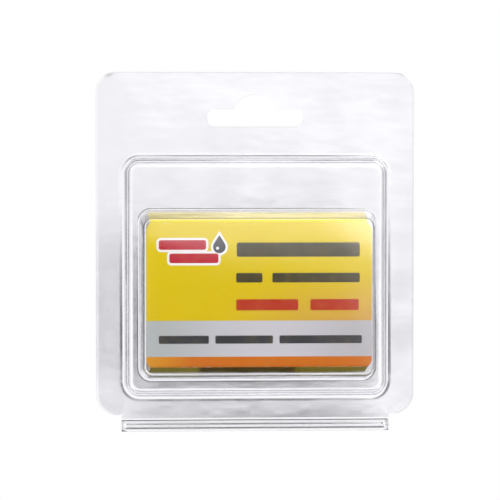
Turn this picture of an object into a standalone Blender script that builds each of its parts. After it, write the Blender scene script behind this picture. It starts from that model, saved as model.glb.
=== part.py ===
"""Detailing clay bar in its clear folding blister pack.

The pack is one vacuum-formed sheet folded at the bottom: a front shell with a two-step cavity, a rear
shell whose plateau nests in the first step, and a rolled living hinge between them. In the pocket lie a
printed card sleeve, a film wrap and the block of clay. The pack hangs by the slot at its top.

Metres, +Z up, the front faces -Y and +X is on the viewer's right. The origin is the top of the hang
slot's arch, in the plane where the two shells meet.
"""

import math

import bmesh
import bpy
from mathutils import Matrix, Vector

# Sheet and clearances
SHEET = 0.0004             # wall of the clear sheet
GAP = 0.0003               # between pieces that touch
NEST_CLEAR = 0.0003        # rear plateau inside the first step
CARD_CLEAR = 0.0005         # card sleeve inside the pocket
FOOT_ROOM = 0.0018          # below the card sleeve, which sits high in its pocket

# Card sleeve: a band folded round the bar, with open ends
CARD_W = 0.0728
CARD_FRONT_H = 0.0478      # front panel
CARD_DEPTH = 0.0140
CARD_STOCK = 0.0004
CARD_FOLD_R = 0.0008

# Clay and its film
FILM = 0.0003
CLAY_SETBACK = 0.0019      # each end of the clay inside the end of the sleeve
CLAY_ROUND = 0.0018
FILM_MOUTH_LIP = 0.0035    # film folded over the edge of the open end

# Pocket round the card
POCKET_DRAFT_X = 0.0012    # each side wall leans this much over its depth
POCKET_DRAFT_TOP = 0.0025
POCKET_DRAFT_FOOT = 0.0021
POCKET_FRONT_R = 0.0026
POCKET_BASE_R = 0.0036

# First step, outside the pocket
STEP_DEPTH = 0.0070
STEP_DRAFT = 0.0010
SHELF_SIDE = 0.0040
SHELF_TOP = 0.0160
SHELF_FOOT = 0.0053
STEP_FRONT_R = 0.0040
STEP_BASE_R = 0.0048

# Bends of the sheet, on the face that the step and the plateau share
RIM_R = 0.0010
CREST_R = 0.0007

# Flanges and hang slot
FLANGE_SIDE = 0.0094
FLANGE_FOOT = 0.0064
FLANGE_R = 0.0070
SLOT_TO_EDGE = 0.0075      # slot's top to the flange's top edge
SLOT_TO_STEP = 0.0211      # slot's top to the first step
SLOT_W = 0.0320
SLOT_H = 0.0105
SLOT_BAR_H = 0.0058        # straight part of the slot
SLOT_ARCH_W = 0.0141
SLOT_FILLET = 0.0008

# Rolled living hinge
HINGE_PAST_STEP = 0.0010   # each end of the hinge beyond the first step's side
HINGE_LEAF = 0.0012        # flat strip between a flange and the roll
ROLL_R = 0.0020
ROLL_MOUTH = math.radians(50)
LEAF_FILLET = 0.0006       # where a leaf joins its flange
LEAF_CORNER_R = 0.0003     # at the leaf's own corners

# Facets
CORNER_STEPS = 6
BEND_STEPS = 4
SLOT_STEPS = 8
ROLL_STEPS = 20

# Places worked out from the sizes above, from the slot downwards and from the parting plane forwards
FRONT_FACE_Y = -GAP / 2
REAR_FACE_Y = GAP / 2
SHELF_Y = FRONT_FACE_Y - STEP_DEPTH
PLATEAU_Y = SHELF_Y + NEST_CLEAR
CARD_BACK_Y = PLATEAU_Y - GAP
CARD_FRONT_Y = CARD_BACK_Y - CARD_DEPTH
POCKET_Y = CARD_FRONT_Y - GAP

STEP_TOP = -SLOT_TO_STEP
POCKET_TOP = STEP_TOP - STEP_DRAFT - SHELF_TOP
CARD_TOP = POCKET_TOP - POCKET_DRAFT_TOP - CARD_CLEAR
CARD_FOOT = CARD_TOP - CARD_FRONT_H
POCKET_FOOT = CARD_FOOT - FOOT_ROOM - POCKET_DRAFT_FOOT
STEP_FOOT = POCKET_FOOT - SHELF_FOOT - STEP_DRAFT
FLANGE_TOP = SLOT_TO_EDGE
FLANGE_BOTTOM = STEP_FOOT - FLANGE_FOOT
LEAF_END = FLANGE_BOTTOM - HINGE_LEAF
HINGE_Z = LEAF_END - GAP - ROLL_R

POCKET_FRONT_HALF = CARD_W / 2 + CARD_CLEAR
POCKET_BASE_HALF = POCKET_FRONT_HALF + POCKET_DRAFT_X
STEP_FRONT_HALF = POCKET_BASE_HALF + SHELF_SIDE
STEP_BASE_HALF = STEP_FRONT_HALF + STEP_DRAFT
FLANGE_HALF = STEP_BASE_HALF + FLANGE_SIDE
HINGE_HALF = STEP_BASE_HALF + HINGE_PAST_STEP

# The card's top and bottom panels lean as the pocket's top wall does
CARD_LEAN = POCKET_DRAFT_TOP * CARD_DEPTH / (SHELF_Y - POCKET_Y)
CARD_CORNER_R = POCKET_FRONT_R + CARD_CLEAR
TRIM_SPARE = 0.002         # how far the blank and its trimming block run past the sleeve
PRODUCT_CENTRE = (0.0, (CARD_FRONT_Y + CARD_BACK_Y) / 2, (CARD_TOP + CARD_FOOT) / 2)

# Outlines seen from the front: half width, top, foot and corner radius
STEP_BASE = (STEP_BASE_HALF, STEP_TOP, STEP_FOOT, STEP_BASE_R)
STEP_FRONT = (STEP_FRONT_HALF, STEP_TOP - STEP_DRAFT, STEP_FOOT + STEP_DRAFT, STEP_FRONT_R)
POCKET_BASE = (POCKET_BASE_HALF, POCKET_TOP, POCKET_FOOT, POCKET_BASE_R)
POCKET_FRONT = (
    POCKET_FRONT_HALF,
    POCKET_TOP - POCKET_DRAFT_TOP,
    POCKET_FOOT + POCKET_DRAFT_FOOT,
    POCKET_FRONT_R,
)


def clear_scene():
    for old in list(bpy.data.objects):
        bpy.data.objects.remove(old, do_unlink=True)


def new_collection(name):
    collection = bpy.data.collections.new(name)
    bpy.context.scene.collection.children.link(collection)
    return collection


def material(name, colour, roughness, transmission=0.0):
    finish = bpy.data.materials.new(name)
    finish.use_nodes = True
    shader = finish.node_tree.nodes["Principled BSDF"]
    shader.inputs["Base Color"].default_value = (*colour, 1.0)
    shader.inputs["Roughness"].default_value = roughness
    shader.inputs["Metallic"].default_value = 0.0
    shader.inputs["Transmission Weight"].default_value = transmission
    return finish


def add_object(name, bm, collection, finish=None, origin=(0.0, 0.0, 0.0)):
    """Makes the mesh an object of its own, with its origin at a point of the pack."""
    mesh = bpy.data.meshes.new(name)
    bmesh.ops.translate(bm, verts=bm.verts, vec=-Vector(origin))
    bm.to_mesh(mesh)
    bm.free()
    mesh.shade_smooth()
    mesh.set_sharp_from_angle(angle=math.radians(30))
    made = bpy.data.objects.new(name, mesh)
    made.location = origin
    collection.objects.link(made)
    if finish:
        mesh.materials.append(finish)
    return made


def add_wall(made, thickness):
    """Gives an open surface its thickness, on the side that its faces point to."""
    wall = made.modifiers.new("wall", "SOLIDIFY")
    wall.thickness = thickness
    wall.offset = 1.0
    wall.use_even_offset = True
    return wall


def arc(centre, radius, start, end, steps):
    """Points on an arc in the XZ plane, both ends included."""
    turn = (end - start) / steps
    return [
        (centre[0] + radius * math.cos(start + turn * k), centre[1] + radius * math.sin(start + turn * k))
        for k in range(steps + 1)
    ]


def rounded(corners, steps):
    """A closed outline through (x, z, radius) corners, each rounded by its radius."""
    points = []
    for index, (x, z, radius) in enumerate(corners):
        here = Vector((x, z))
        back = (Vector(corners[index - 1][:2]) - here).normalized()
        ahead = (Vector(corners[(index + 1) % len(corners)][:2]) - here).normalized()
        half = back.angle(ahead) / 2
        centre = here + (back + ahead).normalized() * radius / math.sin(half)
        spoke = here + back * radius / math.tan(half) - centre
        side = 1.0 if back.x * ahead.y - back.y * ahead.x < 0 else -1.0
        turn = side * (math.pi - 2 * half) / steps
        for k in range(steps + 1):
            swing = Matrix.Rotation(turn * k, 2)
            points.append(tuple(centre + swing @ spoke))
    return points


def loop(bm, points):
    """Joins (x, y, z) points in a closed loop and gives its corners."""
    verts = [bm.verts.new(point) for point in points]
    for before, here in zip(verts[-1:] + verts, verts):
        bm.edges.new((before, here))
    return verts


def edges_of(bm, verts):
    return [bm.edges.get(pair) for pair in zip(verts[-1:] + verts, verts)]


def outline(bm, points, y):
    return loop(bm, [(x, y, z) for x, z in points])


def loft(bm, rings):
    """Four-sided faces between each ring and the next, which has as many corners."""
    for lower, upper in zip(rings, rings[1:]):
        for k in range(len(lower)):
            bm.faces.new((lower[k - 1], lower[k], upper[k], upper[k - 1]))


def ring(bm, size, grow, y):
    """A rounded rectangle across the pack at depth y, grown all round by a distance."""
    half, top, foot, radius = size
    radius = radius + grow
    corners = [
        (half + grow, top + grow, radius),
        (-half - grow, top + grow, radius),
        (-half - grow, foot - grow, radius),
        (half + grow, foot - grow, radius),
    ]
    return outline(bm, rounded(corners, CORNER_STEPS), y)


def between(low, high, share):
    return tuple(a + (b - a) * share for a, b in zip(low, high))


def wall_rings(bm, low, high, low_y, high_y, grow=0.0):
    """Rings up a leaning wall, from the bend round its rim to the bend at its crest."""
    stations = []
    for k in range(BEND_STEPS + 1):
        turn = math.pi / 2 * k / BEND_STEPS
        stations.append((RIM_R * (1 - math.sin(turn)), low_y - RIM_R * (1 - math.cos(turn))))
    for k in range(BEND_STEPS + 1):
        turn = math.pi / 2 * k / BEND_STEPS
        stations.append((CREST_R * (math.cos(turn) - 1), high_y + CREST_R * (1 - math.sin(turn))))
    rings = []
    for spread, y in stations:
        share = (low_y - y) / (low_y - high_y)
        rings.append(ring(bm, between(low, high, share), grow + spread, y))
    return rings


def slot_outline():
    """Straight slot with round ends and a round arch over its middle."""
    rise = SLOT_H - SLOT_BAR_H
    arch_r = ((SLOT_ARCH_W / 2) ** 2 + rise**2) / (2 * rise)
    shoulder = math.asin((arch_r - rise + SLOT_FILLET) / (arch_r + SLOT_FILLET))
    fillet_x = (arch_r + SLOT_FILLET) * math.cos(shoulder)
    fillet_z = -rise + SLOT_FILLET
    end_r = SLOT_BAR_H / 2
    end_x = SLOT_W / 2 - end_r
    end_z = -SLOT_H + end_r
    quarter = math.pi / 2
    points = arc((end_x, end_z), end_r, -quarter, quarter, SLOT_STEPS)
    points += arc((fillet_x, fillet_z), SLOT_FILLET, -quarter, shoulder - math.pi, 3)
    points += arc((0.0, -arch_r), arch_r, shoulder, math.pi - shoulder, 2 * SLOT_STEPS)[1:-1]
    points += arc((-fillet_x, fillet_z), SLOT_FILLET, -shoulder, -quarter, 3)
    points += arc((-end_x, end_z), end_r, quarter, 3 * quarter, SLOT_STEPS)
    return points


def flange_outline():
    """Rounded plate with the hinge leaf as a tab along its foot."""
    return rounded(
        [
            (FLANGE_HALF, FLANGE_TOP, FLANGE_R),
            (-FLANGE_HALF, FLANGE_TOP, FLANGE_R),
            (-FLANGE_HALF, FLANGE_BOTTOM, FLANGE_R),
            (-HINGE_HALF, FLANGE_BOTTOM, LEAF_FILLET),
            (-HINGE_HALF, LEAF_END, LEAF_CORNER_R),
            (HINGE_HALF, LEAF_END, LEAF_CORNER_R),
            (HINGE_HALF, FLANGE_BOTTOM, LEAF_FILLET),
            (FLANGE_HALF, FLANGE_BOTTOM, FLANGE_R),
        ],
        CORNER_STEPS,
    )


def formed_sheet(bm, rings, face_y):
    """One open surface: a flange with its slot, the walls through the rings, and a flat crest."""
    loops = [outline(bm, flange_outline(), face_y), outline(bm, slot_outline(), face_y), rings[0]]
    borders = [edge for verts in loops for edge in edges_of(bm, verts)]
    bmesh.ops.triangle_fill(bm, use_beauty=True, edges=borders)
    loft(bm, rings)
    bmesh.ops.edgeloop_fill(bm, edges=edges_of(bm, rings[-1]))
    bmesh.ops.recalc_face_normals(bm, faces=bm.faces)


def face_along(bm, direction):
    """Turns the whole surface over unless its largest face points along the direction."""
    widest = max(bm.faces, key=lambda face: face.calc_area())
    if widest.normal.dot(Vector(direction)) < 0:
        bmesh.ops.reverse_faces(bm, faces=bm.faces)


def front_shell(collection, finish):
    """The surface made here is the inside of the cavity, and the sheet lies outside it."""
    bm = bmesh.new()
    rings = wall_rings(bm, STEP_BASE, STEP_FRONT, FRONT_FACE_Y, SHELF_Y)
    rings += wall_rings(bm, POCKET_BASE, POCKET_FRONT, SHELF_Y, POCKET_Y)
    formed_sheet(bm, rings, FRONT_FACE_Y)
    face_along(bm, (0, -1, 0))
    add_wall(add_object("front_shell", bm, collection, finish), SHEET)


def rear_shell(collection, finish):
    """The surface made here faces the front shell, and the sheet lies behind it."""
    bm = bmesh.new()
    rings = wall_rings(bm, STEP_BASE, STEP_FRONT, REAR_FACE_Y, PLATEAU_Y, grow=-NEST_CLEAR)
    formed_sheet(bm, rings, REAR_FACE_Y)
    face_along(bm, (0, 1, 0))
    add_wall(add_object("rear_shell", bm, collection, finish, (0.0, 0.0, HINGE_Z)), SHEET)


def hinge_roll(collection, finish):
    """A line along the hinge turned about its axis, open at the top where the two leaves come in."""
    bm = bmesh.new()
    radius = ROLL_R - SHEET / 2
    start = math.pi / 2 + ROLL_MOUTH / 2
    y, z = radius * math.cos(start), HINGE_Z + radius * math.sin(start)
    bm.edges.new((bm.verts.new((-HINGE_HALF, y, z)), bm.verts.new((HINGE_HALF, y, z))))
    roll = add_object("hinge_roll", bm, collection, finish, (0.0, 0.0, HINGE_Z))
    turn = roll.modifiers.new("turn", "SCREW")
    turn.axis = "X"
    turn.angle = 2 * math.pi - ROLL_MOUTH
    turn.steps = ROLL_STEPS
    turn.render_steps = ROLL_STEPS
    turn.merge_threshold = 0.0001
    wall = add_wall(roll, SHEET)
    wall.offset = 0.0


def card_profile():
    """The outside of the sleeve's section as (y, z) points."""
    return rounded(
        [
            (CARD_FRONT_Y, CARD_TOP, CARD_FOLD_R),
            (CARD_BACK_Y, CARD_TOP + CARD_LEAN, CARD_FOLD_R),
            (CARD_BACK_Y, CARD_FOOT - CARD_LEAN, CARD_FOLD_R),
            (CARD_FRONT_Y, CARD_FOOT, CARD_FOLD_R),
        ],
        BEND_STEPS,
    )


def card_sleeve(collection, cutters, finish):
    """A folded band drawn too long, then trimmed to its width and to round corners."""
    bm = bmesh.new()
    start = -CARD_W / 2 - TRIM_SPARE
    section = loop(bm, [(start, y, z) for y, z in card_profile()])
    drawn = bmesh.ops.extrude_edge_only(bm, edges=edges_of(bm, section))["geom"]
    far_verts = [item for item in drawn if isinstance(item, bmesh.types.BMVert)]
    bmesh.ops.translate(bm, verts=far_verts, vec=(CARD_W + 2 * TRIM_SPARE, 0, 0))
    bmesh.ops.recalc_face_normals(bm, faces=bm.faces)
    back_panel = max(bm.faces, key=lambda face: (face.calc_area(), face.calc_center_median().y))
    if back_panel.normal.y < 0:
        bmesh.ops.reverse_faces(bm, faces=bm.faces)
    sleeve = add_object("card_sleeve", bm, collection, finish, PRODUCT_CENTRE)
    wall = add_wall(sleeve, CARD_STOCK)
    wall.offset = -1.0
    trim = sleeve.modifiers.new("trim", "BOOLEAN")
    trim.operation = "INTERSECT"
    trim.solver = "EXACT"
    trim.object = sleeve_trim(cutters)


def sleeve_trim(cutters):
    """A block with round corners that leans as the card does and stands clear of its top and foot."""
    lean = CARD_LEAN / CARD_DEPTH
    bm = bmesh.new()
    ends = []
    for y in (CARD_FRONT_Y - TRIM_SPARE, CARD_BACK_Y + TRIM_SPARE):
        rise = CARD_CLEAR + lean * (y - CARD_FRONT_Y)
        ends.append(ring(bm, (CARD_W / 2, CARD_TOP + rise, CARD_FOOT - rise, CARD_CORNER_R), 0.0, y))
    loft(bm, ends)
    for end in ends:
        bmesh.ops.edgeloop_fill(bm, edges=edges_of(bm, end))
    bmesh.ops.recalc_face_normals(bm, faces=bm.faces)
    trim = add_object("sleeve_trim", bm, cutters, origin=PRODUCT_CENTRE)
    trim.hide_render = True
    trim.display_type = "WIRE"
    return trim


def rounded_block(size, radius):
    """A block about the product's centre with every edge rounded."""
    bm = bmesh.new()
    place = Matrix.Translation(PRODUCT_CENTRE) @ Matrix.Diagonal((*size, 1.0))
    bmesh.ops.create_cube(bm, size=1.0, matrix=place)
    bmesh.ops.bevel(
        bm,
        geom=bm.edges[:],
        offset=radius,
        affect="EDGES",
        segments=BEND_STEPS,
        profile=0.5,
        material=-1,
    )
    return bm


def clay_size(grow):
    """The bar's size with a distance added all round: it fills the sleeve but for the film and gaps."""
    wrap = 2 * (CARD_STOCK + GAP + FILM + GAP)
    bare = Vector((CARD_W - 2 * CLAY_SETBACK, CARD_DEPTH - wrap, CARD_FRONT_H - wrap))
    return bare + Vector((2 * grow,) * 3)


def clay_bar(collection, finish):
    add_object("clay_bar", rounded_block(clay_size(0.0), CLAY_ROUND), collection, finish, PRODUCT_CENTRE)


def film_wrap(collection, finish):
    """A bag drawn over the bar. One end is open, with a lip folded in round its mouth."""
    bm = rounded_block(clay_size(GAP), CLAY_ROUND + GAP)
    bm.faces.ensure_lookup_table()
    end = max(bm.faces, key=lambda face: face.calc_center_median().x)
    bmesh.ops.inset_region(bm, faces=[end], thickness=FILM_MOUTH_LIP)
    bmesh.ops.delete(bm, geom=[end], context="FACES_ONLY")
    add_wall(add_object("film_wrap", bm, collection, finish, PRODUCT_CENTRE), FILM)


def build():
    clear_scene()
    parts = new_collection("clay_bar_pack")
    cutters = new_collection("cutters")
    clear_sheet = material("clear_sheet", (0.93, 0.94, 0.97), 0.05, transmission=0.9)
    front_shell(parts, clear_sheet)
    rear_shell(parts, clear_sheet)
    hinge_roll(parts, clear_sheet)
    card_sleeve(parts, cutters, material("printed_card", (0.85, 0.68, 0.05), 0.35))
    film_wrap(parts, material("film", (0.85, 0.87, 0.90), 0.15, transmission=0.8))
    clay_bar(parts, material("clay", (0.24, 0.26, 0.28), 0.7))


build()
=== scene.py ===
import math
from collections import namedtuple

import bmesh
import bpy
from mathutils import Matrix, Vector, noise


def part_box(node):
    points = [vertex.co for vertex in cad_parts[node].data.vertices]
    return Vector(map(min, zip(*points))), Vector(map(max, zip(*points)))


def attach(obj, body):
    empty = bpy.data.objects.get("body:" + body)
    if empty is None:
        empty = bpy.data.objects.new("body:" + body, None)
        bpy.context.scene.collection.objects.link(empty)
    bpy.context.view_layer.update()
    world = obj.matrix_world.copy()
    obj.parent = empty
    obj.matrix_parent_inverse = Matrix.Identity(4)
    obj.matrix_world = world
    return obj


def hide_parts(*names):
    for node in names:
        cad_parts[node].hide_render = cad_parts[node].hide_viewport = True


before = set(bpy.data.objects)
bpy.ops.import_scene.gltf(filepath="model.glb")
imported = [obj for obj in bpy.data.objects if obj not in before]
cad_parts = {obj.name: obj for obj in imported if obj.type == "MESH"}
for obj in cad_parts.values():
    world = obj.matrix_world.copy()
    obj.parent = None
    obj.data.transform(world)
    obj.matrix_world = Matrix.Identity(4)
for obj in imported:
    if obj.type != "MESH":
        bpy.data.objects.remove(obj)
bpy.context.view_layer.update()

MM = 0.001

# Clear sheet
SHEET = 0.4 * MM
NEST = 0.3 * MM                 # rear plateau inside the first step
LEAF_TALL = 1.2 * MM            # hinge leaf, from the flange's straight edge down to its own foot
CORNER_STEPS = 14
BEND_STEPS = 6
BEND_REACH = 0.88               # how far a bend runs to each side of its line, as a share of its radius
FLAT_MARGINS = (0.15 * MM, 0.45 * MM)   # rings past a bend, so that the flat beside it stays flat
RIM_ROUND = 0.13 * MM           # worn edge of the cut sheet
RIM_ANGLE = math.radians(60)    # a cut edge turns by more than this, and a bend by less

# Card sleeve
BOARD = 0.4 * MM
CARD_LEAN = 3.05 * MM           # how far each fold at the front stands in from the one behind it

# Inks of the card's bars and badge
DARK_INK = (0.055, 0.045, 0.018)
RED_INK = (0.42, 0.035, 0.012)
BLACK_INK = (0.040, 0.040, 0.042)
BADGE_EDGE = (0.80, 0.78, 0.74)
BADGE_RED = (0.45, 0.018, 0.035)
DROP_GREY = (0.05, 0.055, 0.07)
DROP_SHINE = (0.75, 0.76, 0.78)

# Outline of a formed ring: half width, top, foot, corner radius, depth
Outline = namedtuple("Outline", "half top foot radius y")


# ---------------------------------------------------------------- shader tools

class Wire:
    """A shader value that takes part in sums. Each operator adds one Math node."""

    def __init__(self, graph, socket):
        self.graph = graph
        self.socket = socket

    def __add__(self, other):
        return self.graph.maths("ADD", self, other)

    def __radd__(self, other):
        return self.graph.maths("ADD", other, self)

    def __sub__(self, other):
        return self.graph.maths("SUBTRACT", self, other)

    def __rsub__(self, other):
        return self.graph.maths("SUBTRACT", other, self)

    def __mul__(self, other):
        return self.graph.maths("MULTIPLY", self, other)

    def __pow__(self, other):
        return self.graph.maths("POWER", self, other)

    def __abs__(self):
        return self.graph.maths("ABSOLUTE", self)


class Graph:
    """A node tree with one way to add a node and a few shapes that are used often."""

    def __init__(self, tree):
        self.tree = tree
        tree.nodes.clear()

    def node(self, kind, settings=None, inputs=None, output=0):
        made = self.tree.nodes.new("ShaderNode" + kind)
        for name, value in (settings or {}).items():
            setattr(made, name, value)
        for name, value in (inputs or {}).items():
            if isinstance(value, Wire):
                self.tree.links.new(value.socket, made.inputs[name])
            else:
                made.inputs[name].default_value = value
        if not made.outputs:
            return None
        return Wire(self, made.outputs[output])

    def maths(self, operation, *values):
        return self.node("Math", {"operation": operation}, dict(enumerate(values)))

    def greater(self, *values):
        """The greatest of any number of values."""
        most = values[0]
        for value in values[1:]:
            most = self.maths("MAXIMUM", most, value)
        return most

    def lesser(self, first, second):
        return self.maths("MINIMUM", first, second)

    def rise(self, value, low, high):
        """0 under low, 1 over high and a smooth climb between. With low over high it falls instead."""
        falls = low > high
        return self.node(
            "MapRange",
            {"interpolation_type": "SMOOTHSTEP"},
            {
                "Value": value,
                "From Min": min(low, high),
                "From Max": max(low, high),
                "To Min": 1.0 if falls else 0.0,
                "To Max": 0.0 if falls else 1.0,
            },
        )

    def blend(self, share, first, second):
        """A colour mix, the first at 0 and the second at 1."""
        colours = [value if isinstance(value, Wire) else (*value, 1.0) for value in (first, second)]
        return self.node("Mix", {"data_type": "RGBA"}, {0: share, 6: colours[0], 7: colours[1]}, output=2)

    def blend_values(self, share, first, second):
        """A mix of two plain values."""
        return first + (second - first) * share

    def noise(self, place, scale, detail=2.0, roughness=0.5):
        """Smooth noise between 0 and 1."""
        return self.node(
            "TexNoise", None, {"Vector": place, "Scale": scale, "Detail": detail, "Roughness": roughness}
        )

    def parts(self, vector):
        """The three numbers of a vector."""
        return [self.node("SeparateXYZ", None, {0: vector}, output=name) for name in "XYZ"]

    def bar(self, x, z, left, right, low, high, corner, soft=0.07):
        """1 inside a bar with round corners, drawn flat on x and z. Its edge fades over soft to each side."""
        across = abs(x - (left + right) / 2) - ((right - left) / 2 - corner)
        along = abs(z - (low + high) / 2) - ((high - low) / 2 - corner)
        far = self.maths("SQRT", self.greater(across, 0.0) ** 2.0 + self.greater(along, 0.0) ** 2.0)
        return self.rise(far, corner + soft, corner - soft)

    def disc(self, x, z, across, up, radius, soft=0.07):
        """1 inside a circle."""
        far = self.maths("SQRT", abs(x - across) ** 2.0 + abs(z - up) ** 2.0)
        return self.rise(far, radius + soft, radius - soft)


class Finish(Graph):
    """A material that reads its places in millimetres from the object's own coordinates."""

    def __init__(self, name):
        self.material = bpy.data.materials.new(name)
        self.material.use_nodes = True
        super().__init__(self.material.node_tree)
        where = self.node("TexCoord", output="Object")
        self.place = self.node("VectorMath", {"operation": "SCALE"}, {0: where, "Scale": 1 / MM})
        self.x, self.y, self.z = self.parts(self.place)

    def stretched(self, along_x, along_y, along_z):
        """The place drawn out by its own amount each way, for grain and creases."""
        return self.node(
            "VectorMath", {"operation": "MULTIPLY"}, {0: self.place, 1: (along_x, along_y, along_z)}
        )

    def relief(self, height):
        """A normal bumped by a height in millimetres."""
        return self.node("Bump", None, {"Strength": 1.0, "Distance": MM, "Height": height})

    def shader(self, inputs):
        return self.node("BsdfPrincipled", None, inputs)

    def ends_in(self, surface):
        self.node("OutputMaterial", None, {"Surface": surface})
        return self.material


# ---------------------------------------------------------------- finishes

def let_light_through(finish, solid, colour):
    """Lets lamp light pass straight through a clear shader, so that it reaches what is packed inside."""
    through = finish.node("BsdfTransparent", None, {"Color": (*colour, 1.0)})
    lamp = finish.node("LightPath", output="Is Shadow Ray")
    bounced = finish.node("LightPath", output="Is Diffuse Ray")
    lit = finish.node("MixShader", None, {0: lamp, 1: solid, 2: through})
    return finish.node("MixShader", None, {0: bounced, 1: lit, 2: through})


def clear_sheet_finish(name, tint, hills):
    """Formed clear sheet: slow hills from the mould, a faint haze and a lilac cast.

    The hills are in millimetres. The pocket's face is calmer, and is crowned about crown_z.
    """
    finish = Finish(name)
    crown_z, crown_tall, crown_wide = -72.0, 30.0, 37.0
    slow = finish.noise(finish.stretched(1.0, 1.0, 0.8), 0.028, 1.0)
    drawn = finish.noise(finish.stretched(0.7, 1.0, 1.5), 0.085, 2.0)
    speckle = finish.noise(finish.place, 1.3, 3.0)
    pocket_face = finish.rise(finish.y, -20.9, -21.2)
    height = (slow * hills + drawn * (hills * 0.16)) * (1.0 - pocket_face * 0.75) + speckle * 0.0015
    above = finish.z - crown_z
    crown = abs(above * (1 / crown_tall)) ** 4.0 * 0.95 + abs(finish.x * (1 / crown_wide)) ** 4.0 * 0.6
    height = height - pocket_face * (crown - above * 0.010)
    haze = finish.rise(finish.noise(finish.place, 0.06, 3.0), 0.35, 0.7)
    glass = finish.shader(
        {
            "Base Color": finish.blend(haze, tint, [value * 0.985 for value in tint]),
            "Roughness": 0.07 + haze * 0.04,
            "IOR": 1.57,
            "Transmission Weight": 1.0,
            "Normal": finish.relief(height),
        }
    )
    return finish.ends_in(let_light_through(finish, glass, (0.955, 0.95, 0.965)))


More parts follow.
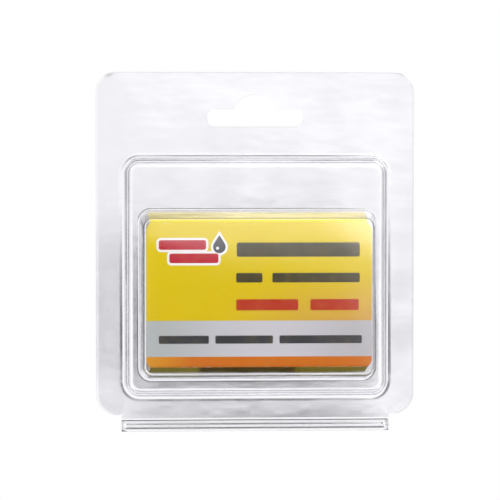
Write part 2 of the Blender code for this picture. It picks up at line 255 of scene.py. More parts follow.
def printed_card_finish(name, varnish):
    """Printed board: yellow panel, silver and orange bands, plain bars where words would be.

    The varnish covers the front and the back. The folded sides have rubbed dull.
    """
    finish = Finish(name)
    x, y, z = finish.x, finish.y, finish.z
    top_fold, foot_fold = -41.8, -88.2
    back = finish.rise(y, -7.7, -7.5)

    # Yellow that warms to peach at the lower right
    yellow = finish.blend(finish.rise(z, -72.0, -40.0), (0.62, 0.455, 0.001), (0.67, 0.52, 0.002))
    peach = finish.rise(x, -20.0, 36.0) * finish.rise(z, -54.0, -76.0)
    colour = finish.blend(peach, yellow, (0.56, 0.31, 0.055))

    # Bands round the sleeve
    silver = finish.blend(finish.rise(x, -36.0, 0.0), (0.43, 0.46, 0.445), (0.56, 0.55, 0.57))
    silver = finish.blend(finish.rise(x, 4.0, 36.0), silver, (0.45, 0.44, 0.45))
    in_silver = finish.rise(z, -73.15, -73.3) * finish.rise(z, -84.9, -84.7)
    colour = finish.blend(in_silver, colour, silver)
    orange = finish.blend(finish.rise(x, -36.0, -20.0), (0.59, 0.245, 0.016), (0.53, 0.135, 0.009))
    colour = finish.blend(finish.rise(z, -84.75, -84.9), colour, orange)

    def row(low, high, corner, *spans):
        """A row of plain bars, one for each run of words, by their left and right ends."""
        return finish.greater(*(finish.bar(x, z, left, right, low, high, corner) for left, right in spans))

    title = row(-52.6, -48.0, 0.7, (-7.3, 32.5))
    second_line = row(-60.9, -57.8, 0.5, (-7.5, 1.0), (4.2, 32.5))
    colour = finish.blend(finish.greater(title, second_line), colour, DARK_INK)
    third_line = row(-69.9, -66.3, 0.5, (-7.5, 12.6), (16.5, 32.2))
    colour = finish.blend(third_line, colour, RED_INK)
    silver_line = row(-80.6, -78.0, 0.4, (-32.4, -16.3), (-14.2, 4.4), (6.5, 33.2))
    colour = finish.blend(silver_line, colour, BLACK_INK)

    # Badge: two red bars and a drop on a white edge
    badge_bars = ((-32.4, -17.2, -50.3, -47.2), (-29.0, -13.2, -54.6, -51.5))
    drop_x, drop_z, drop_r, drop_tall = -12.9, -49.4, 2.0, 3.9
    edge = 0.75

    def drop(grow):
        """A water drop: a circle with a straight-sided tip above it."""
        tip_x = abs(x - drop_x)
        tip_z = drop_z + drop_tall + grow * 1.8
        radius = drop_r + grow
        tip = finish.rise(tip_x * 1.6 + z, tip_z, tip_z - 0.1)
        tip = tip * finish.rise(z, drop_z, drop_z + 0.1) * finish.rise(tip_x, radius, radius - 0.1)
        return finish.greater(tip, finish.disc(x, z, drop_x, drop_z, radius))

    def badge(grow):
        bars = [
            finish.bar(x, z, left - grow, right + grow, under - grow, over + grow, 0.7 + grow)
            for left, right, under, over in badge_bars
        ]
        return finish.greater(*bars)

    colour = finish.blend(finish.greater(badge(edge), drop(edge)), colour, BADGE_EDGE)
    colour = finish.blend(badge(0.0), colour, BADGE_RED)
    colour = finish.blend(drop(0.0), colour, DROP_GREY)
    colour = finish.blend(finish.disc(x, z, drop_x - 0.6, drop_z - 0.4, 0.5), colour, DROP_SHINE)

    # Spine and foot panels. The spine's bright yellow is painted light, for the top panel lit from above
    spine_painted_light = finish.rise(z, top_fold - 0.15, top_fold + 0.05)
    colour = finish.blend(spine_painted_light, colour, (1.0, 0.82, 0.02))
    # The foot's dark olive is painted shade over its yellow print, for the underside that the lamp doesn't
    # reach
    foot = finish.rise(z, foot_fold + 0.05, foot_fold - 0.15)
    colour = finish.blend(foot, colour, (0.17, 0.14, 0.02))
    # A dark bar of print on the foot, painted darker still by the same painted shade
    foot_block_painted_shade = foot * finish.bar(x, z, -19.0, 12.0, -94.0, -86.0, 0.5, 1.2)
    colour = finish.blend(foot_block_painted_shade, colour, (0.03, 0.012, 0.004))

    # Back panel: a pale note with lines of ragged dashes, under two headings
    colour = finish.blend(back, colour, (0.82, 0.66, 0.06))
    note = finish.rise(z, -58.2, -58.3) * finish.rise(z, -84.1, -84.0)
    note = note * finish.rise(abs(x), 31.1, 31.0) * back
    colour = finish.blend(note, colour, (0.80, 0.80, 0.78))
    lines = finish.rise(finish.maths("PINGPONG", z, 1.1), 0.62, 0.7)
    ragged = finish.noise(finish.stretched(0.18, 0.0, 0.45), 1.0, 1.0)
    words = lines * finish.rise(abs(x), 28.1, 28.0) * finish.rise(ragged, 0.40, 0.44)
    words = words * finish.rise(z, -60.0, -60.1) * finish.rise(z, -82.1, -82.0) * back
    colour = finish.blend(words, colour, (0.11, 0.11, 0.12))
    headings = finish.greater(row(-48.6, -45.2, 0.5, (-28.0, 8.0)), row(-53.6, -51.4, 0.4, (-28.0, -6.0)))
    colour = finish.blend(headings * back, colour, DARK_INK)

    # Painted shade along the top fold, worn edges, ink mottle and paper tooth
    top_fold_painted_shade = finish.rise(abs(z - (top_fold + 0.2)), 0.7, 0.2)
    colour = finish.blend(top_fold_painted_shade * 0.5, colour, (0.38, 0.28, 0.003))
    fold_z = finish.lesser(abs(z - top_fold), abs(z - foot_fold))
    wear = finish.noise(finish.stretched(0.5, 1.0, 2.0), 1.1, 4.0)
    worn = finish.rise(fold_z, 0.35, 0.05) * finish.rise(wear, 0.56, 0.72)
    colour = finish.blend(worn * 0.55, colour, (0.86, 0.83, 0.74))
    mottle = finish.noise(finish.place, 0.35, 4.0)
    colour = finish.blend(finish.rise(mottle, 0.45, 0.75) * 0.06, colour, (0.62, 0.48, 0.04))
    tooth = finish.noise(finish.place, 5.0, 3.0)
    warp = finish.noise(finish.place, 0.05, 1.0)
    metal = in_silver * (1.0 - silver_line) * (1.0 - back)
    ink = finish.shader(
        {
            "Base Color": colour,
            "Metallic": metal * 0.35,
            "Roughness": 0.34 + mottle * 0.14 - metal * 0.04,
            "Specular IOR Level": varnish * 0.06,
            "Coat Weight": (0.15 + wear * 0.12) * varnish,
            "Coat Roughness": 0.12,
            "Normal": finish.relief(tooth * 0.006 + warp * 0.25),
        }
    )
    return finish.ends_in(ink)


def grey_board_finish():
    """The unprinted inside of the board, with its fibres showing."""
    finish = Finish("grey_board")
    fibre = finish.noise(finish.stretched(0.6, 2.4, 2.4), 1.6, 5.0)
    cloud = finish.noise(finish.place, 0.2, 3.0)
    colour = finish.blend(fibre, (0.36, 0.34, 0.30), (0.60, 0.58, 0.53))
    colour = finish.blend(finish.rise(cloud, 0.4, 0.7) * 0.3, colour, (0.46, 0.43, 0.37))
    board = finish.shader(
        {
            "Base Color": colour,
            "Roughness": 0.86 + fibre * 0.1,
            "Normal": finish.relief(fibre * 0.05 + cloud * 0.05),
        }
    )
    return finish.ends_in(board)


def film_finish():
    """Thin clear film, bright along its creases."""
    finish = Finish("film")
    creases = finish.noise(finish.stretched(0.35, 1.0, 1.0), 0.45, 4.0, 0.62)
    fine = finish.noise(finish.stretched(1.0, 2.0, 2.0), 2.2, 3.0)
    ridge = finish.rise(abs(creases - 0.5), 0.05, 0.0)
    skin = finish.shader(
        {
            "Base Color": finish.blend(ridge, (0.82, 0.84, 0.86), (0.95, 0.96, 0.97)),
            "Roughness": 0.09 + fine * 0.12,
            "IOR": 1.5,
            "Normal": finish.relief(creases * 0.8 + ridge * 0.06 + fine * 0.02),
        }
    )
    through = finish.node("BsdfTransparent", None, {"Color": (0.96, 0.965, 0.97, 1.0)})
    share = 0.10 + ridge * 0.22 + finish.rise(fine, 0.5, 0.8) * 0.08
    return finish.ends_in(finish.node("MixShader", None, {0: share, 1: through, 2: skin}))


def clay_finish():
    """Kneaded grey clay: fine grit, smears and a faint oily shine."""
    finish = Finish("clay")
    smear = finish.noise(finish.stretched(0.25, 1.0, 1.0), 0.25, 4.0, 0.6)
    grit = finish.noise(finish.place, 3.5, 4.0, 0.65)
    pits = finish.node("TexVoronoi", {"feature": "F1"}, {"Vector": finish.place, "Scale": 0.9})
    pit = finish.rise(pits, 0.30, 0.08)
    colour = finish.blend(smear, (0.12, 0.135, 0.155), (0.26, 0.28, 0.31))
    colour = finish.blend(finish.rise(grit, 0.58, 0.75) * 0.35, colour, (0.42, 0.43, 0.45))
    # The pits are painted darker than the clay round them: painted shade in the hollows
    lump = finish.shader(
        {
            "Base Color": finish.blend(pit * 0.6, colour, (0.07, 0.075, 0.085)),
            "Roughness": 0.5 + grit * 0.25,
            "Subsurface Weight": 0.05,
            "Coat Weight": 0.06 + finish.rise(smear, 0.5, 0.8) * 0.14,
            "Coat Roughness": 0.35,
            "Normal": finish.relief(smear * 0.3 + grit * 0.05 - pit * 0.12),
        }
    )
    return finish.ends_in(lump)


def floor_finish():
    finish = Finish("pale_floor")
    grain = finish.noise(finish.place, 0.05, 3.0)
    paint = finish.shader(
        {
            "Base Color": finish.blend(grain, (0.80, 0.80, 0.80), (0.83, 0.83, 0.83)),
            "Roughness": 0.7 + grain * 0.1,
        }
    )
    return finish.ends_in(paint)


# ---------------------------------------------------------------- mesh tools

def add_piece(name, bm, finishes, sharp=35.0, flat_first=False):
    """Makes the mesh an object at the origin, with smooth faces and crisp edges.

    With flat_first its wide flats stay flat to the light.
    """
    mesh = bpy.data.meshes.new(name)
    bm.to_mesh(mesh)
    bm.free()
    for finish in finishes:
        mesh.materials.append(finish)
    mesh.shade_smooth()
    mesh.set_sharp_from_angle(angle=math.radians(sharp))
    piece = bpy.data.objects.new(name, mesh)
    bpy.context.scene.collection.objects.link(piece)
    if flat_first:
        shading = piece.modifiers.new("flat_first", "WEIGHTED_NORMAL")
        shading.weight = 50
        shading.keep_sharp = True
    return piece


def through_modifiers(bm, kinds):
    """Passes a mesh through modifiers, each a kind and its settings, and gives the outcome."""
    mesh = bpy.data.meshes.new("working")
    bm.to_mesh(mesh)
    bm.free()
    working = bpy.data.objects.new("working", mesh)
    bpy.context.scene.collection.objects.link(working)
    for kind, settings in kinds:
        step = working.modifiers.new(kind.lower(), kind)
        for name, value in settings.items():
            setattr(step, name, value)
    made = bmesh.new()
    made.from_object(working, bpy.context.evaluated_depsgraph_get())
    bpy.data.objects.remove(working)
    bpy.data.meshes.remove(mesh)
    return made


def corners_of(verts, outline):
    """The vertices of a ring in four groups, with the way each corner points."""
    middle = (outline.top + outline.foot) / 2
    for side in (-1, 1):
        for up in (-1, 1):
            yield side, up, [v for v in verts if v.co.x * side > 0 and (v.co.z - middle) * up > 0]


def corner_centre(outline, side, up):
    end = outline.top if up > 0 else outline.foot
    return Vector((side * (outline.half - outline.radius), outline.y, end - up * outline.radius))


def bevel(bm, geom, offset, segments, affect="EDGES"):
    bmesh.ops.bevel(
        bm,
        geom=geom,
        offset=offset,
        offset_type="OFFSET",
        affect=affect,
        segments=segments,
        profile=0.5,
        material=-1,
    )


def edges_since(bm, before):
    """The edges drawn since the set before was taken."""
    return [edge for edge in bm.edges if edge not in before]


def drop_faces(bm, edges):
    """Deletes the faces beside some edges and keeps the edges."""
    faces = {face for edge in edges for face in edge.link_faces}
    bmesh.ops.delete(bm, geom=list(faces), context="FACES_ONLY")


def start_ring(bm, outline):
    """A closed ring of edges along a rounded outline."""
    place = Matrix.Translation((0.0, outline.y, (outline.top + outline.foot) / 2))
    place @= Matrix.Rotation(math.pi / 2, 4, "X")
    place @= Matrix.Diagonal((outline.half, (outline.top - outline.foot) / 2, 1.0, 1.0))
    before = set(bm.edges)
    corners = bmesh.ops.create_grid(bm, x_segments=1, y_segments=1, size=1.0, matrix=place)["verts"]
    bevel(bm, corners, outline.radius, CORNER_STEPS, "VERTICES")
    edges = edges_since(bm, before)
    drop_faces(bm, edges)
    return edges


def next_ring(bm, edges, old, new):
    """Draws a ring on to the next outline: each corner is resized about its centre and moved."""
    made = bmesh.ops.extrude_edge_only(bm, edges=edges)["geom"]
    verts = [item for item in made if isinstance(item, bmesh.types.BMVert)]
    size = new.radius / old.radius
    for side, up, group in corners_of(verts, old):
        here, there = corner_centre(old, side, up), corner_centre(new, side, up)
        bmesh.ops.scale(bm, vec=(size, 1.0, size), space=Matrix.Translation(-here), verts=group)
        bmesh.ops.translate(bm, vec=there - here, verts=group)
    return [item for item in made if isinstance(item, bmesh.types.BMEdge)]


def grown(outline, by, y=None):
    """The same outline with a distance added all round, at its own depth or at another."""
    return Outline(
        outline.half + by,
        outline.top + by,
        outline.foot - by,
        max(outline.radius + by, 0.25 * MM),
        outline.y if y is None else y,
    )


def part_way(low, high, share):
    return Outline(*(a + (b - a) * share for a, b in zip(low, high)))


def raise_wall(bm, low, high, low_bend, high_bend):
    """Draws rings up a leaning wall, with flat margins past both bends.

    Gives the last ring, its outline, and both bend lines with their radii.
    """
    near, far = FLAT_MARGINS
    stations = [
        grown(low, low_bend * BEND_REACH + far),
        grown(low, low_bend * BEND_REACH + near),
        low,
        part_way(low, high, 0.3),
        part_way(low, high, 0.7),
        high,
        grown(high, -high_bend * BEND_REACH - near),
        grown(high, -high_bend * BEND_REACH - far),
    ]
    edges = start_ring(bm, stations[0])
    bends = []
    for at, station in zip(stations, stations[1:]):
        edges = next_ring(bm, edges, at, station)
        if station is low:
            bends.append((edges, low_bend))
        elif station is high:
            bends.append((edges, high_bend))
    return edges, stations[-1], bends


def round_bends(bm, bends):
    """Turns each sharp bend line into a smooth bend."""
    for edges, radius in bends:
        bevel(bm, edges, radius * BEND_REACH, BEND_STEPS)


def turned(bm, vert, centre, degrees, steps):
    """Draws an arc from a point by turning it about a centre, and gives its far end."""
    made = bmesh.ops.spin(
        bm,
        geom=[vert],
        cent=centre,
        axis=(0.0, 1.0, 0.0),
        dvec=(0.0, 0.0, 0.0),
        angle=math.radians(degrees),
        steps=steps,
        use_duplicate=False,
    )
    return made["geom_last"][0]


def led_to(bm, vert, x, z):
    """Draws a straight line from a point to another place at its depth."""
    end = bmesh.ops.extrude_vert_indiv(bm, verts=[vert])["verts"][0]
    bmesh.ops.translate(bm, vec=Vector((x, vert.co.y, z)) - end.co, verts=[end])
    return end


def slot_ring(bm, y):
    """The hanging slot: a bar with round ends and a round arch over its middle.

    The arch's crest is at z = 0, and a fillet leads from each side of it to the bar's upper edge.
    """
    before = set(bm.edges)
    end_x, end_z, end_r = 13.1 * MM, -7.6 * MM, 2.9 * MM
    rise, arch_half, fillet = 4.7 * MM, 7.05 * MM, 0.8 * MM
    end_steps, fillet_steps, arch_steps = 12, 5, 20
    arch_r = (arch_half**2 + rise**2) / (2 * rise)
    lean = math.asin((arch_r - rise + fillet) / (arch_r + fillet))
    fillet_x = (arch_r + fillet) * math.cos(lean)
    fillet_z = -rise + fillet
    fillet_turn = 90.0 - math.degrees(lean)
    first = bm.verts.new((end_x, y, end_z - end_r))
    vert = turned(bm, first, (end_x, y, end_z), -180.0, end_steps)
    vert = led_to(bm, vert, fillet_x, -rise)
    vert = turned(bm, vert, (fillet_x, y, fillet_z), fillet_turn, fillet_steps)
    vert = turned(bm, vert, (0.0, y, -arch_r), -2 * fillet_turn, arch_steps)
    vert = turned(bm, vert, (-fillet_x, y, fillet_z), fillet_turn, fillet_steps)
    vert = led_to(bm, vert, -end_x, -rise)
    vert = turned(bm, vert, (-end_x, y, end_z), -180.0, end_steps)
    bm.edges.new((vert, first))
    return edges_since(bm, before)


def flange_ring(bm, y, flange, trim_left=0.0, trim=0.0):
    """The flange's cut edge with the hinge leaf as a tab along its foot.

    The left side is cut short by trim_left, and the top and the right side by trim.
    """
    low, high = flange
    leaf_x, leaf_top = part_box("hinge_roll")[1].x, low.z + LEAF_TALL
    flange_corner, nook, leaf_corner = (7.0 * MM, 16), (0.6 * MM, 5), (0.3 * MM, 4)
    corners = [
        (high.x - trim, high.z - trim, flange_corner),
        (low.x + trim_left, high.z - trim, flange_corner),
        (low.x + trim_left, leaf_top, flange_corner),
        (-leaf_x, leaf_top, nook),
        (-leaf_x, low.z, leaf_corner),
        (leaf_x, low.z, leaf_corner),
        (leaf_x, leaf_top, nook),
        (high.x - trim, leaf_top, flange_corner),
    ]
    before = set(bm.edges)
    verts = [bm.verts.new((x, y, z)) for x, z, _ in corners]
    bm.faces.new(verts)
    for rounding in (flange_corner, nook, leaf_corner):
        group = [vert for vert, corner in zip(verts, corners) if corner[2] is rounding]
        bevel(bm, group, *rounding, "VERTICES")
    edges = edges_since(bm, before)
    drop_faces(bm, edges)
    return edges


def thicken(thickness, offset):
    """A modifier that makes a surface solid. The offset is 1 outside it, -1 inside it and 0 half each."""
    return "SOLIDIFY", {"thickness": thickness, "offset": offset, "use_even_offset": True}


def round_rim(bm, radius, segments):
    """Rounds the cut edges of a thickened sheet."""
    rim = [edge for edge in bm.edges if edge.is_manifold and edge.calc_face_angle() > RIM_ANGLE]
    bevel(bm, rim, radius, segments)


def sheet_from(bm, towards):
    """Gives the drawn surface its thickness on the side that towards points to, and rounds its cut edges."""
    bmesh.ops.recalc_face_normals(bm, faces=bm.faces)
    widest = max(bm.faces, key=lambda face: face.calc_area())
    if widest.normal.dot(Vector(towards)) < 0:
        bmesh.ops.reverse_faces(bm, faces=bm.faces)
    solid = through_modifiers(bm, [thicken(SHEET, 1.0)])
    round_rim(solid, RIM_ROUND, 3)
    return solid


# ---------------------------------------------------------------- clear pack

shell_low, shell_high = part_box("front_shell")
rear_low, rear_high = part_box("rear_shell")
card_low, card_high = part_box("card_sleeve")

# The front shell's cavity side: the flange, the step's crest and the pocket's crest
front_y = shell_high.y
shelf_y = front_y - 7.0 * MM
pocket_y = shell_low.y + SHEET
step_base = Outline(43.1 * MM, -21.1 * MM, -99.1 * MM, 4.8 * MM, front_y)
step_front = Outline(42.1 * MM, -22.1 * MM, -98.1 * MM, 4.0 * MM, shelf_y)
pocket_base = Outline(38.1 * MM, -38.1 * MM, -92.8 * MM, 3.6 * MM, shelf_y)
pocket_front = Outline(36.9 * MM, -40.6 * MM, -90.7 * MM, 2.6 * MM, pocket_y)
STEP_BENDS = (2.0 * MM, 1.7 * MM)       # radius at the wall's base and at its crest
POCKET_BENDS = (1.3 * MM, 0.5 * MM)


def fill_between(bm, *rings):
    """Fills the flat between an outer ring and the rings inside it."""
    bmesh.ops.triangle_fill(bm, use_beauty=True, edges=[edge for ring in rings for edge in ring])


def panel(bm, edges, at, outline, insets):
    """Closes a crest with rings that narrow towards its middle, by insets in millimetres, and a last face."""
    for inset in insets:
        station = grown(outline, -inset * MM)
        edges = next_ring(bm, edges, at, station)
        at = station
    bmesh.ops.edgeloop_fill(bm, edges=edges)


def open_edges(bm, y):
    """The open edges of a surface that lie at one depth."""
    return [
        edge
        for edge in bm.edges
        if edge.is_boundary and all(abs(vert.co.y - y) < 0.01 * MM for vert in edge.verts)
    ]


def front_sheet(finish):
    """Flange, first step and card pocket, drawn on the cavity side and thickened towards the front."""
    bm = bmesh.new()
    bends = raise_wall(bm, step_base, step_front, *STEP_BENDS)[2]
    crest, at, more = raise_wall(bm, pocket_base, pocket_front, *POCKET_BENDS)
    panel(bm, crest, at, pocket_front, (3.0, 6.0, 11.0, 16.0, 20.0))
    skirt = open_edges(bm, front_y)
    fill_between(bm, skirt, flange_ring(bm, front_y, (shell_low, shell_high)), slot_ring(bm, front_y))
    fill_between(bm, open_edges(bm, shelf_y))
    round_bends(bm, bends + more)
    solid = sheet_from(bm, (0, -1, 0))
    piece = add_piece("front_sheet", solid, [finish], flat_first=True)
    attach(piece, "front_shell")
    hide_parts("front_shell")


def rear_sheet(finish):
    """Flange and shallow plateau, thickened towards the back. Its left edge is cut a little short."""
    bm = bmesh.new()
    face_y = rear_high.y - SHEET
    low = grown(step_base, -NEST, face_y)
    high = grown(step_front, -NEST, rear_low.y)
    edges, at, bends = raise_wall(bm, low, high, *STEP_BENDS)
    skirt = open_edges(bm, face_y)
    flange = flange_ring(bm, face_y, (rear_low, rear_high), trim_left=0.9 * MM, trim=0.2 * MM)
    fill_between(bm, flange, slot_ring(bm, face_y), skirt)
    panel(bm, edges, at, high, (6.0, 14.0, 24.0, 34.0))
    round_bends(bm, bends)
    solid = sheet_from(bm, (0, 1, 0))
    piece = add_piece("rear_sheet", solid, [finish], flat_first=True)
    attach(piece, "rear_shell")
    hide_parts("rear_shell")


def hinge_curl(finish):
    """The living hinge: a strip of the sheet curled about the hinge line, open where the leaves come in."""
    low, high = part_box("hinge_roll")
    roll_radius = 2.0 * MM
    middle_radius = 1.8 * MM    # to the middle of the strip's thickness
    mouth = 50.0
    axis = Vector((0.0, 0.0, low.z + roll_radius))
    lip = axis + Matrix.Rotation(math.radians(mouth / 2), 3, "X") @ Vector((0.0, 0.0, middle_radius))
    bm = bmesh.new()
    flat = Matrix.Diagonal((high.x, 0.0, 1.0, 1.0))
    bmesh.ops.create_grid(bm, x_segments=40, y_segments=1, size=1.0, matrix=flat)
    bmesh.ops.remove_doubles(bm, verts=bm.verts, dist=0.01 * MM)
    bmesh.ops.delete(bm, geom=bm.faces[:], context="FACES_ONLY")
    bmesh.ops.translate(bm, vec=lip, verts=bm.verts)
    bmesh.ops.spin(
        bm,
        geom=bm.verts[:] + bm.edges[:],
        cent=axis,
        axis=(1.0, 0.0, 0.0),
        dvec=(0.0, 0.0, 0.0),
        angle=math.radians(360.0 - mouth),
        steps=36,
        use_duplicate=False,
    )
    bmesh.ops.recalc_face_normals(bm, faces=bm.faces)
    solid = through_modifiers(bm, [thicken(SHEET, 0.0)])
    round_rim(solid, 0.1 * MM, 2)
    piece = add_piece("hinge_curl", solid, [finish])
    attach(piece, "hinge_roll")
    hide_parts("hinge_roll")


# ---------------------------------------------------------------- packed bar

def folded_band():
    """The sleeve's outer surface, left too wide: a tube along x whose rounded folds lean in at the front."""
    depth = card_high.y - card_low.y
    middle = (card_high + card_low) / 2
    bm = bmesh.new()
    place = Matrix.Translation((0.0, middle.y, middle.z))
    place @= Matrix.Diagonal((card_high.x * 2 + 2 * MM, depth, card_high.z - card_low.z, 1.0))
    bmesh.ops.create_cube(bm, size=1.0, matrix=place)
    for up in (-1, 1):
        front = [v for v in bm.verts if v.co.y < middle.y and (v.co.z - middle.z) * up > 0]
        bmesh.ops.translate(bm, vec=(0.0, 0.0, -up * CARD_LEAN), verts=front)
    ends = [face for face in bm.faces if abs(face.normal.x) > 0.9]
    bmesh.ops.delete(bm, geom=ends, context="FACES_ONLY")
    folds = [edge for edge in bm.edges if abs(edge.verts[0].co.x - edge.verts[1].co.x) > MM]
    bevel(bm, folds, 0.8 * MM, 6)
    bmesh.ops.recalc_face_normals(bm, faces=bm.faces)
    # The widest face, and of two that are as wide the one further back
    back = max(bm.faces, key=lambda face: (round(face.calc_area(), 7), face.calc_center_median().y))
    if back.normal.y < 0:
        bmesh.ops.reverse_faces(bm, faces=bm.faces)
    return bm


def trimming_block():
    """The block that trims the band to its width and rounds its corners. It stands past its faces."""
    past = MM
    inset = CARD_LEAN - 0.5 * MM    # clear of the folds by 0.5 mm, so that only its round corners cut them
    depth = card_high.y - card_low.y
    slope = CARD_LEAN / depth

    def section(y, rise):
        """The block's outline at a depth, with its top and foot moved apart by rise each."""
        return Outline(card_high.x, card_high.z + rise, card_low.z - rise, 2.9 * MM, y)

    near = section(card_low.y - past, -past * slope - inset)
    far = section(card_high.y + past, (depth + 2 * past) * slope - inset)
    bm = bmesh.new()
    near_edges = start_ring(bm, near)
    far_edges = next_ring(bm, near_edges, near, far)
    for edges in (near_edges, far_edges):
        bmesh.ops.edgeloop_fill(bm, edges=edges)
    bmesh.ops.recalc_face_normals(bm, faces=bm.faces)
    mesh = bpy.data.meshes.new("sleeve_trim")
    bm.to_mesh(mesh)
    bm.free()
    block = bpy.data.objects.new("sleeve_trim", mesh)
    bpy.context.scene.collection.objects.link(block)
    return block


def sleeve(print_finish, board_finish, side_finish):
    """A folded and glued band of board, trimmed to round corners."""
    print_index, board_index, side_index = range(3)
    block = trimming_block()
    trim = ("BOOLEAN", {"operation": "INTERSECT", "solver": "EXACT", "object": block})
    solid = through_modifiers(folded_band(), [thicken(BOARD, -1.0), trim])
    mesh = block.data
    bpy.data.objects.remove(block)
    bpy.data.meshes.remove(mesh)

    middle = (card_high + card_low) / 2
    for face in solid.faces:
        outwards = face.calc_center_median() - middle
        outwards.x = 0.0
        if face.normal.dot(outwards) <= 0 or abs(face.normal.x) >= 0.5:
            face.material_index = board_index
        elif abs(face.normal.z) > 0.6:
            face.material_index = side_index
        else:
            face.material_index = print_index
    piece = add_piece("printed_sleeve", solid, [print_finish, board_finish, side_finish])
    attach(piece, "bar_pack")
    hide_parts("card_sleeve")


def soft_block(low, high, radius, cuts, dent, seed):
    """A rounded block whose skin is pushed in, by up to dent, in hand-sized and finger-sized hollows."""
    hand_scale, finger_scale = 70.0, 260.0
    bm = bmesh.new()
    size = high - low
    place = Matrix.Translation((low + high) / 2) @ Matrix.Diagonal((*size, 1.0))
    bmesh.ops.create_cube(bm, size=1.0, matrix=place)
    bevel(bm, bm.edges[:], radius, 5)
    for axis, count in enumerate(cuts):
        for step in range(1, count):
            spot = low.copy()
            spot[axis] = low[axis] + radius + (size[axis] - 2 * radius) * step / count
            direction = Vector((0.0, 0.0, 0.0))
            direction[axis] = 1.0
            bmesh.ops.bisect_plane(
                bm, geom=bm.verts[:] + bm.edges[:] + bm.faces[:], plane_co=spot, plane_no=direction
            )
    bm.normal_update()
    shift = Vector((seed, seed * 2.0, 0.0))
    pushes = []
    for vert in bm.verts:
        hand = noise.noise(vert.co * hand_scale + shift)
        finger = noise.noise(vert.co * finger_scale + shift)
        pushes.append((vert, max(0.0, 0.5 + 0.45 * hand + 0.35 * finger)))
    for vert, push in pushes:
        vert.co -= vert.normal * min(push, 1.0) * dent
    return bm


def clay_block(finish):
    low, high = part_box("clay_bar")
    bm = soft_block(low, high, radius=1.8 * MM, cuts=(60, 12, 40), dent=0.35 * MM, seed=3.0)
    piece = add_piece("clay_block", bm, [finish], sharp=60.0)
    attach(piece, "bar_pack")
    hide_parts("clay_bar")


def film_bag(finish):
    """The film round the bar, open at its right end."""
    low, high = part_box("film_wrap")
    bm = soft_block(low, high, radius=2.1 * MM, cuts=(80, 16, 56), dent=0.12 * MM, seed=8.0)
    mouth = [face for face in bm.faces if face.calc_center_median().x > high.x - 0.3 * MM]
    mouth = [face for face in mouth if face.normal.x > 0.95]
    bmesh.ops.delete(bm, geom=mouth, context="FACES")
    piece = add_piece("film_bag", bm, [finish], sharp=60.0)
    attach(piece, "bar_pack")
    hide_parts("film_wrap")


# ---------------------------------------------------------------- studio

def away_from_pack(azimuth, elevation):
    """The direction from the pack to a place round it, in degrees. Azimuth 0 is the front, 90 the right."""
    a, e = math.radians(azimuth), math.radians(elevation)
    return Vector((math.sin(a) * math.cos(e), -math.cos(a) * math.cos(e), math.sin(e)))


def aim(stand, direction):
    """Turns a lamp or a camera to look along a direction."""
    stand.rotation_mode = "QUATERNION"
    stand.rotation_quaternion = direction.to_track_quat("-Z", "Y")


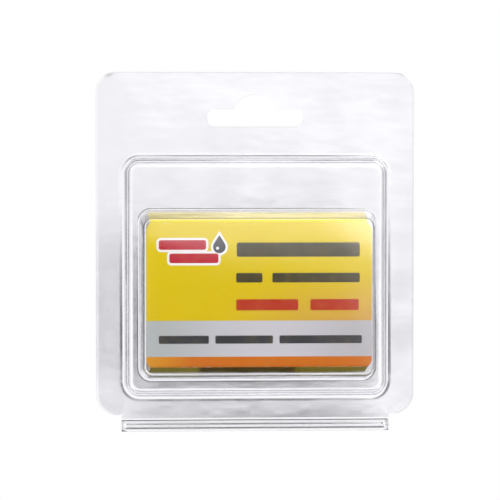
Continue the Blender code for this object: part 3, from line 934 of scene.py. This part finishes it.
def surroundings():
    """Plain white to the camera. The pack mirrors and bends soft glows and dark patches."""
    world = bpy.data.worlds.new("studio")
    bpy.context.scene.world = world
    world.use_nodes = True
    graph = Graph(world.node_tree)
    way = graph.node("TexCoord", output="Generated")
    right, ahead, up = graph.parts(way)

    def glow(azimuth, elevation, inner, outer):
        """A soft round light, by where it stands and its two radii in degrees."""
        toward = tuple(away_from_pack(azimuth, elevation))
        facing = graph.node("VectorMath", {"operation": "DOT_PRODUCT"}, {0: way, 1: toward}, output="Value")
        return graph.rise(facing, math.cos(math.radians(outer)), math.cos(math.radians(inner)))

    def shade(across, over, inner, outer):
        """1 inside a soft rectangle, by its middle and its half sizes. It is there both ahead and behind."""
        wide = graph.rise(abs(right - across), outer[0], inner[0])
        return wide * graph.rise(abs(up - over), outer[1], inner[1])

    # Dim white all round. The flats mirror one patch in front of the pack, which is dark low down and to
    # the left. A ray that has crossed both sheets doesn't meet it, so that the pack is clear from behind.
    front = 0.02 + graph.rise(up * 0.8 + right * 0.6, 0.0, 0.10) * 0.95
    mirrored = shade(0.0400, -0.1200, (0.1600, 0.2100), (0.2600, 0.3000)) * graph.rise(ahead, 0.0, -0.1)
    crossed = graph.node("LightPath", output="Transmission Depth")
    mirrored = mirrored * graph.rise(crossed, 3.5, 2.5)
    light = graph.blend_values(mirrored, 0.82, front)

    # The white sweep straight behind the pack, with a soft shadow under the card and its darker core
    behind = 1.05 + graph.rise(up, -0.02, -0.10) * 0.13
    behind = behind * (1.0 - shade(0.0560, -0.0584, (0.0350, 0.0157), (0.0500, 0.0410)) * 0.78)
    behind = behind * (1.0 - shade(0.0635, -0.0700, (0.0400, 0.0105), (0.0450, 0.0185)) * 0.9)
    light = graph.blend_values(graph.rise(ahead, 0.93, 0.985), light, behind)

    # Dark flags further out behind, which the bends show as grey lines
    under = shade(0.0600, -0.2250, (0.0900, 0.0400), (0.1300, 0.0800)) * 0.9
    over = shade(-0.0200, 0.2900, (0.0300, 0.1200), (0.1100, 0.1900)) * 0.4
    left = shade(-0.2200, -0.0400, (0.0600, 0.0800), (0.1200, 0.1300)) * 0.6
    rear = graph.rise(ahead, 0.0, 0.1)
    light = light * (1.0 - rear * graph.greater(under, over, left))

    # Lights: a bright zenith and three glows
    light = light + graph.rise(up, 0.45, 0.95) * 0.75
    light = light + glow(23.0, 16.0, 3.0, 19.0) * 4.4
    light = light + glow(2.0, 15.0, 4.0, 12.0) * 0.7
    light = light + glow(-45.0, 30.0, 4.0, 22.0)

    seen = graph.node("LightPath", output="Is Camera Ray")
    level = seen + light * (1.0 - seen)
    sky = graph.node("Background", None, {"Color": (1.0, 1.0, 1.0, 1.0), "Strength": level})
    graph.node("OutputWorld", None, {"Surface": sky})


def studio():
    """A small pale floor under the pack, white surroundings and soft light from the upper right."""
    bm = bmesh.new()
    place = Matrix.Translation((0.0, 0.0, -0.26))
    bmesh.ops.create_grid(bm, x_segments=1, y_segments=1, size=0.38, matrix=place)
    add_piece("pale_floor", bm, [floor_finish()])
    surroundings()

    name = "top_right_softbox"
    lamp = bpy.data.lights.new(name, "AREA")
    lamp.shape = "SQUARE"
    lamp.size = 0.5
    lamp.energy = 2.3
    stand = bpy.data.objects.new(name, lamp)
    bpy.context.scene.collection.objects.link(stand)
    stand.location = (0.45, -0.55, 0.45)
    aim(stand, Vector((0.0, 0.0, -0.05)) - stand.location)


def camera():
    """A long lens a little left of the pack's front and a little above its middle."""
    distance = 0.9
    middle = Vector((-1.72 * MM, 0.0, -51.15 * MM))
    away = away_from_pack(-3.5, 2.0)
    lens = bpy.data.cameras.new("camera")
    lens.lens = 196.4
    lens.sensor_width = 36.0
    stand = bpy.data.objects.new("camera", lens)
    bpy.context.scene.collection.objects.link(stand)
    stand.location = middle + away * distance
    aim(stand, -away)
    bpy.context.scene.camera = stand


camera()
studio()
bpy.context.scene.view_settings.view_transform = "Standard"

front_sheet(clear_sheet_finish("clear_front", tint=(0.975, 0.97, 0.995), hills=0.9))
rear_sheet(clear_sheet_finish("clear_rear", tint=(0.98, 0.975, 0.995), hills=0.7))
# The hinge's tint is darker than the flanges': painted shade for the curled strip, which is the same sheet
hinge_curl(clear_sheet_finish("clear_hinge", tint=(0.90, 0.895, 0.915), hills=0.2))
sleeve(
    printed_card_finish("printed_card", varnish=1.0),
    grey_board_finish(),
    printed_card_finish("printed_card_sides", varnish=0.0),
)
film_bag(film_finish())
clay_block(clay_finish())
